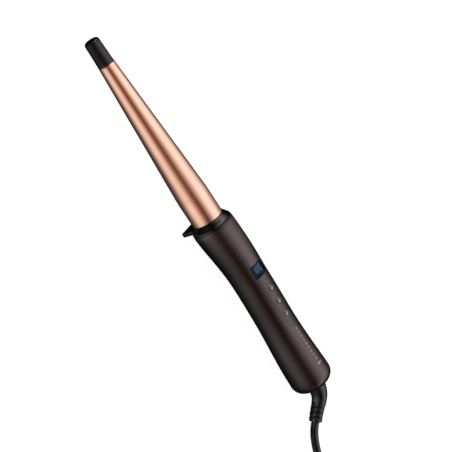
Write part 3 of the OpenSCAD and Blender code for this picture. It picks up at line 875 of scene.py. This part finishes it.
def band(n, place, stops, tint=(1, 1, 1)):
    return n.ramp(place, [((a + 180) / 360, np.array(tint) * v / 4) for a, v in stops])


def scaled(n, colour, factor):
    return n.add("ShaderNodeVectorMath", {0: colour, "Scale": factor},
                 operation="SCALE").outputs[0]


def make_world():
    world = bpy.data.worlds.new("studio")
    bpy.context.scene.world = world
    world.use_nodes = True
    n = Nodes(world.node_tree)
    place, x = ray_angle(n, n.add("ShaderNodeTexCoord").outputs["Generated"])
    half = n.math("MULTIPLY_ADD", x, 0.5, 0.5)
    sky = None
    for stops, along, tint in ((FRONT_BOX, FRONT_ALONG, (1, 1, 1)),
                               (FLOOR_GLOW, FRONT_ALONG, (1, 1, 1)),
                               (BACK_BOX, BACK_ALONG, (1, 0.98, 1.05)),
                               (FLOOR_BEHIND, BACK_ALONG, (1, 0.98, 1.05)),
                               (RIM_BAND, RIM_ALONG, (1, 0.90, 0.82)),
                               (DARK_BAND, DARK_ALONG, WARM)):
        gain = n.ramp(half, [((a + 1) / 2, v / 3) for a, v in along])
        part = scaled(n, band(n, place, stops, tint), gain)
        sky = n.add("ShaderNodeVectorMath", {0: sky, 1: part}).outputs[0] if sky else part
    background = n.add("ShaderNodeBackground", {"Color": scaled(n, sky, 12.0)})
    n.add("ShaderNodeOutputWorld", {"Surface": background})


def reflector(name, x_from, x_to, distance, gain):
    """A curved card in front of the wand, seen only in reflections: it passes on the
    front box, brighter or dimmer, to one stretch of the wand."""
    angles = np.radians(np.arange(-84, 49, 6))
    verts = [(x, -distance * math.cos(a), AXIS_Z + distance * math.sin(a))
             for a in angles for x in (x_from, x_to)]
    faces = [(2 * i, 2 * i + 1, 2 * i + 3, 2 * i + 2) for i in range(len(angles) - 1)]
    mat, n = new_material(name)
    where = n.add("ShaderNodeVectorMath", {
        0: n.add("ShaderNodeTexCoord").outputs["Object"], 1: (0, 0, AXIS_Z / 1000)},
        operation="SUBTRACT").outputs[0]
    place, _ = ray_angle(n, where)
    front = n.add("ShaderNodeVectorMath", {
        0: band(n, place, FRONT_BOX), 1: band(n, place, FLOOR_GLOW)}).outputs[0]
    light = n.add("ShaderNodeVectorMath", {
        0: scaled(n, front, gain), 1: band(n, place, DARK_BAND, WARM)})
    glow = n.add("ShaderNodeEmission", {"Color": light.outputs[0], "Strength": 4.0})
    n.add("ShaderNodeOutputMaterial", {"Surface": glow})
    card = stage_mesh(name, [tuple(np.array(v) / 1000) for v in verts], faces, mat,
                      ("camera", "diffuse", "shadow", "transmission", "volume_scatter"))


make_world()
reflector("root_card", 10, 37, 120, 1.0)
reflector("tip_card", -178, -133, 35, 0.4)


def overhead_light():
    """Even light for the table, kept out of reflections."""
    data = bpy.data.lights.new("overhead", "AREA")
    data.shape = "DISK"
    data.size = 2.5
    data.energy = 60
    light = bpy.data.objects.new("overhead", data)
    light.location = (0.05, 0.1, 2.2)
    light.visible_glossy = False
    bpy.context.scene.collection.objects.link(light)


overhead_light()
view = bpy.context.scene.view_settings
view.view_transform = "Standard"
view.look = "None"

# ---- heated end

TIP_END = -BARREL_LEN - TIP_LEN
TIP_JOINT_R = BARREL_TIP_R - 0.1
lathe("cool_tip_skin", rounded([
    (TIP_END, 0, 0), (TIP_END, 6.0, 2.4), (-BARREL_LEN - 0.05, TIP_JOINT_R, 0.2),
    (-BARREL_LEN - 0.05, 3.7, 0), (TIP_END + 4, 3.7, 0), (TIP_END + 4, 0, 0)], step=7),
    "tip_black", "wand", ["cool_tip"])

lathe("barrel_skin", rounded([
    (-BARREL_LEN, BARREL_TIP_R, 0.2), (-BARREL_STRAIGHT, BARREL_R, 60),
    (12, BARREL_R, 0.2), (12, BARREL_R - 1.2, 0), (-BARREL_STRAIGHT, BARREL_R - 1.2, 0),
    (-BARREL_LEN, BARREL_TIP_R - 1.2, 0)], step=2),
    "copper_coat", "wand", ["barrel"], sides=192)


def collar_r(x):
    swell = math.sin(math.pi / 2 * (x / COLLAR_LEN)**1.3)
    dip = 0.22 * max(0, (x - 3.6) / (COLLAR_LEN - 3.6))**2
    return COLLAR_LIP + (COLLAR_END_R - COLLAR_LIP) * swell - dip


COLLAR_X = [COLLAR_LEN * i / 24 for i in range(25)]
lathe("collar_skin", [
    (0.4, 12.2), (0.1, 12.66), (0, 12.8), *[(x, collar_r(x)) for x in COLLAR_X[1:-1]],
    (6.14, collar_r(6.14) - 0.02), (6.2, collar_r(6.2) - 0.12), (6.2, 13.55), (11.5, 13.55),
    (11.5, 12.2)], "gloss_black", "wand", ["collar"], z=COLLAR_RISE)

FOOT_HALF, FOOT_CORNER, FOOT_EDGE = 9.2, 0.9, 0.3


def rest_foot():
    """The plate that the wand stands on, cut level with the table."""
    low = -FOOT_DEPTH - 0.3
    side = rounded([(0.4 - FOOT_HALF, -11, 0), (-FOOT_HALF, low, FOOT_CORNER),
                    (FOOT_HALF, low, FOOT_CORNER), (FOOT_HALF - 0.4, -11, 0)])
    side = ccw(dense(side, 1.5))
    rings = []
    for x, inset in ((FOOT_FRONT, FOOT_EDGE), (FOOT_FRONT + 0.09, 0.09),
                     (FOOT_FRONT + FOOT_EDGE, 0), (FOOT_BACK - FOOT_EDGE, 0),
                     (FOOT_BACK - 0.09, 0.09), (FOOT_BACK, FOOT_EDGE)):
        loop = offset(side, inset)
        ring = placed(np.column_stack([np.full(len(loop), x), loop]))
        ring[:, 2] = np.maximum(ring[:, 2], 0)
        rings.append(ring)
    skinned("rest_foot_skin", rings, "gloss_black", "wand", ["rest_foot"], sharp=50)


# ---- handle surface

LIP_TURN = math.radians(82)
LIP_R = ((REAR_R - END_ROUND * (1 - math.cos(LIP_TURN)) - THROAT_R)
         / (1 + math.cos(LIP_TURN)))
BORE_LEN = 4.0
ARC_LEN = END_ROUND * LIP_TURN
LIP_LEN = LIP_R * (math.pi - LIP_TURN)
S_FRONT, S_END = 6.25, ROUND_X + ARC_LEN + LIP_LEN + BORE_LEN
FRONT_DIP, FRONT_DIP_LEN = 0.2, 3.4
Q_SCALE = 15.0


def meridian(s):
    """x and radius of the handle at a distance s along its side, round the end and
    into the mouth for the cord."""
    s = np.asarray(s, float)
    a = np.clip((s - ROUND_X) / END_ROUND, 0, LIP_TURN)
    x = np.where(s < ROUND_X, s, ROUND_X + END_ROUND * np.sin(a))
    r = body_r(x) - END_ROUND * (1 - np.cos(a))
    b = np.clip((s - ROUND_X - ARC_LEN) / LIP_R, 0, math.pi - LIP_TURN) + LIP_TURN
    x = x + LIP_R * (np.sin(b) - math.sin(LIP_TURN))
    r = r - LIP_R * (math.cos(LIP_TURN) - np.cos(b))
    x = x - np.clip(s - ROUND_X - ARC_LEN - LIP_LEN, 0, None)
    r = r - FRONT_DIP * np.clip(1 - (s - S_FRONT) / FRONT_DIP_LEN, 0, 1)**2
    return x, r


def wall_share(s):
    """The shell thins towards its mouth."""
    a = (np.asarray(s, float) - ROUND_X) / END_ROUND
    return 1 - 0.65 * ease((a - 0.6) / 0.7)


def skin_points(flat, depth, side=1):
    """Points of the handle, below its surface by depth. flat holds distances along
    (s) and round (q) from the top, or from the bottom with side -1."""
    flat = np.asarray(flat, float)
    s, phi = flat[:, 0], flat[:, 1] / Q_SCALE

    def surface(s, phi):
        x, r = meridian(s)
        return np.stack([x, side * r * np.sin(phi),
                         handle_c(x) + side * r * np.cos(phi)], axis=1)

    h = 1e-3
    ds = surface(s + h, phi) - surface(s - h, phi)
    dq = surface(s, phi + h) - surface(s, phi - h)
    normal = np.cross(ds, dq)
    normal /= np.linalg.norm(normal, axis=1)[:, None]
    return surface(s, phi) - normal * (depth * wall_share(s))[:, None]


def flatten(outline):
    """An outline in x and y, seen from above, as distances along and round."""
    r = body_r(outline[:, 0])
    return np.stack([outline[:, 0], Q_SCALE * np.arcsin(outline[:, 1] / r)], axis=1)


def inside(points, loops):
    odd = np.zeros(len(points), bool)
    for loop in loops:
        nxt = np.roll(loop, -1, axis=0)
        for (x1, y1), (x2, y2) in zip(loop, nxt):
            if y1 == y2:
                continue
            hit = (points[:, 1] >= min(y1, y2)) & (points[:, 1] < max(y1, y2))
            cross = x1 + (points[:, 1] - y1) * (x2 - x1) / (y2 - y1)
            odd ^= hit & (points[:, 0] < cross)
    return odd


class Skin:
    """A solid that follows the handle's surface, bounded by loops. Each loop has the
    solid on its left."""

    def __init__(self, side=1):
        self.side = side
        self.verts = []
        self.faces = []

    def points(self, flat, depth):
        start = len(self.verts)
        self.verts += list(skin_points(flat, depth, self.side))
        return start

    def patch(self, loops, depth, grid, flip=False):
        loose = grid[inside(grid, loops)] if len(grid) else np.zeros((0, 2))
        rim = np.concatenate(loops)
        if len(loose):
            near = np.min(np.linalg.norm(loose[:, None] - rim[None], axis=2), axis=1)
            loose = loose[near > 0.45]
        flat = [Vector(p) for p in np.concatenate([rim, loose])]
        edges, start = [], 0
        for loop in loops:
            count = len(loop)
            edges += [(start + i, start + (i + 1) % count) for i in range(count)]
            start += count
        out, _, tris, *_ = geometry.delaunay_2d_cdt(flat, edges, [], 0, 1e-7)
        out = np.array([tuple(v) for v in out])
        tris = np.array([tuple(t) for t in tris])
        keep = inside(out[tris].mean(axis=1), loops)
        base = self.points(out, depth)
        for t in tris[keep]:
            t = [base + int(i) for i in t]
            self.faces.append(t[::-1] if flip else t)

    def wall(self, loop, steps):
        """Quads down the loop through (offset, depth) steps."""
        rings = [self.points(offset(loop, o), d) for o, d in steps]
        count = len(loop)
        for a, b in zip(rings, rings[1:]):
            for i in range(count):
                j = (i + 1) % count
                self.faces.append((a + j, a + i, b + i, b + j))


def edge_steps(depth, radius=0.14):
    """Rounded edge of a surface, then straight down to depth."""
    steps = [(2.2 * radius, 0), (radius, 0)]
    for a in (30, 60, 90):
        a = math.radians(a)
        steps.append((radius * (1 - math.sin(a)), radius * (1 - math.cos(a))))
    return steps + [(0, depth)]


def grid_points(s_from, s_to, q_half, s_step, q_step):
    s = np.arange(s_from, s_to, s_step)
    q = np.arange(-math.floor(q_half / q_step), math.floor(q_half / q_step) + 1) * q_step
    return np.stack(np.meshgrid(s, q), axis=-1).reshape(-1, 2)


def circle(x, radius):
    a = np.linspace(0, 2 * math.pi, 48, endpoint=False)
    return flatten(np.stack([x + radius * np.cos(a), radius * np.sin(a)], axis=1))


SHELL_WALL = 2.0
WINDOW_X, WINDOW_W, WINDOW_LEN = 50.5, 14.4, 11.0
BUTTON_X = [67.8 + 11.8 * i for i in range(3)]
BUTTON_R, BUTTON_GAP = 2.5, 0.06
PANEL_FRONT, PANEL_SHOULDER, PANEL_WAIST, PANEL_BACK = 57, 67, 90, 103.4
PANEL_HALF, PANEL_WAIST_HALF, PANEL_TIP_HALF = 7.4, 4.3, 2.8
PANEL_DEPTH, LENS_T, LENS_BORDER, LENS_GAP = 1.2, 1.2, 1.1, 0.02
BOSS_X, BOSS_DEPTH, BOSS_WALL = (22.0, 114.5), 9.5, 0.8
SCREW_BORE_R, SCREW_BORE_DEPTH, SCREW_INSET = 2.6, 7.4, 1.3
CONTROLS_FROM, CONTROLS_TO, CONTROLS_HALF = 40.3, 112, 9


def window_loop(grow=0.0):
    hx, hy, r = WINDOW_LEN / 2 + grow, WINDOW_W / 2 + grow, 0.8
    return flatten(ccw(dense(rounded([
        (WINDOW_X - hx, -hy, r), (WINDOW_X + hx, -hy, r),
        (WINDOW_X + hx, hy, r), (WINDOW_X - hx, hy, r)]), 0.5)))


def panel_loop(grow=0.0):
    half, waist, tip = PANEL_HALF + grow, PANEL_WAIST_HALF + grow, PANEL_TIP_HALF + grow
    front, back = PANEL_FRONT - grow, PANEL_BACK + grow
    return flatten(ccw(dense(rounded([
        (front, -half, 0.9), (PANEL_SHOULDER, 0.9 - half, 60), (PANEL_WAIST, -waist, 80),
        (back, -tip, 2.6), (back, tip, 2.6), (PANEL_WAIST, waist, 80),
        (PANEL_SHOULDER, half - 0.9, 60), (front, half, 0.9)], step=3), 0.5)))


def shell_border(side):
    """The edge of one shell: front, parting line, mouth and parting line."""
    s = np.concatenate([
        np.arange(S_FRONT, ROUND_X, 1.5), np.linspace(ROUND_X, ROUND_X + ARC_LEN, 24),
        np.linspace(ROUND_X + ARC_LEN, S_END, 14)[1:]])
    x, r = meridian(s)
    level = (PART_Z + side * SEAM - handle_c(x)) * side / r
    q = Q_SCALE * np.arccos(level)
    count = 60
    front = np.stack([np.full(count, S_FRONT), np.linspace(q[0], -q[0], count)], axis=1)
    mouth = np.stack([np.full(count, S_END), np.linspace(-q[-1], q[-1], count)], axis=1)
    low = np.stack([s, -q], axis=1)
    high = np.stack([s, q], axis=1)[::-1]
    return np.concatenate([front[:-1], low[:-1], mouth[:-1], high[:-1]])


BODY_GRID = np.concatenate([
    grid_points(S_FRONT + 1, ROUND_X, 27, 1.6, 1.0),
    grid_points(ROUND_X + 0.8, ROUND_X + ARC_LEN, 27, 0.8, 1.0),
    grid_points(ROUND_X + ARC_LEN + 0.3, S_END, 27, 0.5, 1.0)])


def upper_shell():
    skin = Skin()
    border = shell_border(1)
    window = window_loop(0.05)[::-1]
    pocket = panel_loop(0.05)[::-1]
    holes = [circle(x, BUTTON_R + BUTTON_GAP)[::-1] for x in BUTTON_X]
    edge = edge_steps(SHELL_WALL)
    edge_in = edge[0][0]
    skin.patch([offset(border, edge_in), offset(window, edge_in), offset(pocket, edge_in)],
               0, BODY_GRID)
    skin.wall(border, edge)
    skin.wall(window, edge)
    skin.wall(pocket, edge_steps(PANEL_DEPTH + 0.05))
    skin.patch([pocket[::-1], *holes], PANEL_DEPTH + 0.05, BODY_GRID)
    for hole in holes:
        skin.wall(hole, [(0, PANEL_DEPTH + 0.05), (0, SHELL_WALL)])
    skin.patch([border, window, *holes], SHELL_WALL, BODY_GRID, flip=True)
    build("handle_upper_skin", placed(skin.verts), skin.faces, "plum_satin", "wand",
          ["handle_upper"])


def lower_shell():
    skin = Skin(side=-1)
    border = shell_border(-1)
    bores = [circle(x, SCREW_BORE_R)[::-1] for x in BOSS_X]
    edge = edge_steps(SHELL_WALL)
    edge_in = edge[0][0]
    skin.patch([offset(border, edge_in), *[offset(b, edge_in) for b in bores]], 0, BODY_GRID)
    skin.wall(border, edge)
    for bore in bores:
        skin.wall(bore, [
            *edge_steps(SCREW_BORE_DEPTH), (-SCREW_INSET, SCREW_BORE_DEPTH),
            (-SCREW_INSET, BOSS_DEPTH), (BOSS_WALL, BOSS_DEPTH), (BOSS_WALL, SHELL_WALL)])
    skin.patch([border, *[offset(b, BOSS_WALL) for b in bores]], SHELL_WALL, BODY_GRID,
               flip=True)
    build("handle_lower_skin", placed(skin.verts), skin.faces, "plum_satin", "wand",
          ["handle_lower"])


def slab(name, loops, depth, look, replaced=(), radius=0.12):
    """A thin solid set into the handle's surface."""
    skin = Skin()
    grid = grid_points(CONTROLS_FROM, CONTROLS_TO, CONTROLS_HALF, 1.2, 1.0)
    edge = edge_steps(depth, radius)
    skin.patch([offset(loop, edge[0][0]) for loop in loops], 0, grid)
    for loop in loops:
        skin.wall(loop, edge)
    skin.patch(loops, depth, grid, flip=True)
    build(name, placed(skin.verts), skin.faces, look, "wand", replaced)


rest_foot()
upper_shell()
lower_shell()
slab("control_panel_skin",
     [panel_loop(), *[circle(x, BUTTON_R + BUTTON_GAP)[::-1] for x in BUTTON_X]],
     PANEL_DEPTH, "plum_panel", ["control_panel"])
slab("display_window", [window_loop(-LENS_BORDER - LENS_GAP)], LENS_T, "lens_clear",
     ["display_lens"])
slab("display_mask", [window_loop(), window_loop(-LENS_BORDER)[::-1]], LENS_T,
     "border_navy", radius=0.1)

LCD_TOP = top_z(WINDOW_X) - 2.75
SEGMENTS = {"0": "abcdef", "1": "bc", "8": "abcdefg"}


def segment_bars(text):
    """Bars of seven-segment digits as (x, y, length along x, width along y)."""
    tall, wide, thick = 2.3, 2.2, 0.42
    places = {"a": (-tall, 0, 0), "g": (0, 0, 0), "d": (tall, 0, 0),
              "f": (-tall / 2, -wide / 2, 1), "b": (-tall / 2, wide / 2, 1),
              "e": (tall / 2, -wide / 2, 1), "c": (tall / 2, wide / 2, 1)}
    for i, digit in enumerate(text):
        for name in SEGMENTS[digit]:
            x, y, upright = places[name]
            size = (tall - 0.3, thick) if upright else (thick, wide - 0.3)
            yield (WINDOW_X + x, y + (i - (len(text) - 1) / 2) * 3.5, *size)


def display_digits():
    verts, faces = [], []
    for x, y, dx, dy in segment_bars("180"):
        start = len(verts)
        for z in (LCD_TOP - 0.05, LCD_TOP - 0.01):
            verts += [(x + sx * dx / 2, y + sy * dy / 2, z)
                      for sx, sy in ((-1, -1), (1, -1), (1, 1), (-1, 1))]
        faces += [[start + i for i in f] for f in (
            (3, 2, 1, 0), (4, 5, 6, 7), (0, 1, 5, 4), (1, 2, 6, 5), (2, 3, 7, 6),
            (3, 0, 4, 7))]
    outward(build("display_digits", placed(verts), faces, "lcd_digit", "wand"))


display_digits()

DOME_RISE = 0.95
for name, x in zip(("plus", "minus", "power"), BUTTON_X):
    top = top_z(x)
    brim, low = top - SHELL_WALL - 0.75, top - SHELL_WALL - 1.9
    dome = [(top + 0.1 + DOME_RISE * math.sin(math.radians(a)),
             BUTTON_R * math.cos(math.radians(a))) for a in range(0, 90, 9)]
    lathe(f"button_{name}_cap", [
        (low, 0), (low, 1.5), (brim - 0.6, 1.5), (brim - 0.6, BUTTON_R + 0.5),
        (brim, BUTTON_R + 0.5), (brim, BUTTON_R), *dome, (top + 0.1 + DOME_RISE, 0)],
        "rose_metal", name, [f"button_{name}"], upright=x, sides=64)

DASH_ROW = [106.4 + 3.55 * i for i in range(9)]


def dash(x, y, length, width):
    hx, hy = length / 2, width / 2
    return flatten(ccw(dense(rounded([
        (x - hx, y - hy, 0.3), (x + hx, y - hy, 0.3), (x + hx, y + hy, 0.3),
        (x - hx, y + hy, 0.3)], step=30), 0.5)))


def inlay(name, loops, look):
    """Thin foil marks that stand just proud of the handle."""
    skin = Skin()
    for loop in loops:
        edge = [(0.06, -0.05), (0, -0.03), (0, 0.05)]
        skin.patch([offset(loop, 0.06)], -0.05, np.zeros((0, 2)))
        skin.wall(loop, edge)
        skin.patch([loop], 0.05, np.zeros((0, 2)), flip=True)
    build(name, placed(skin.verts), skin.faces, look, "wand")


inlay("pinstripe_dashes", [dash(x, 0.7, 2.3, 1.5) for x in DASH_ROW], "rose_foil")
inlay("pinstripe_bar", [dash(139.1, 1.3, 1.3, 4.6)], "rose_bar")
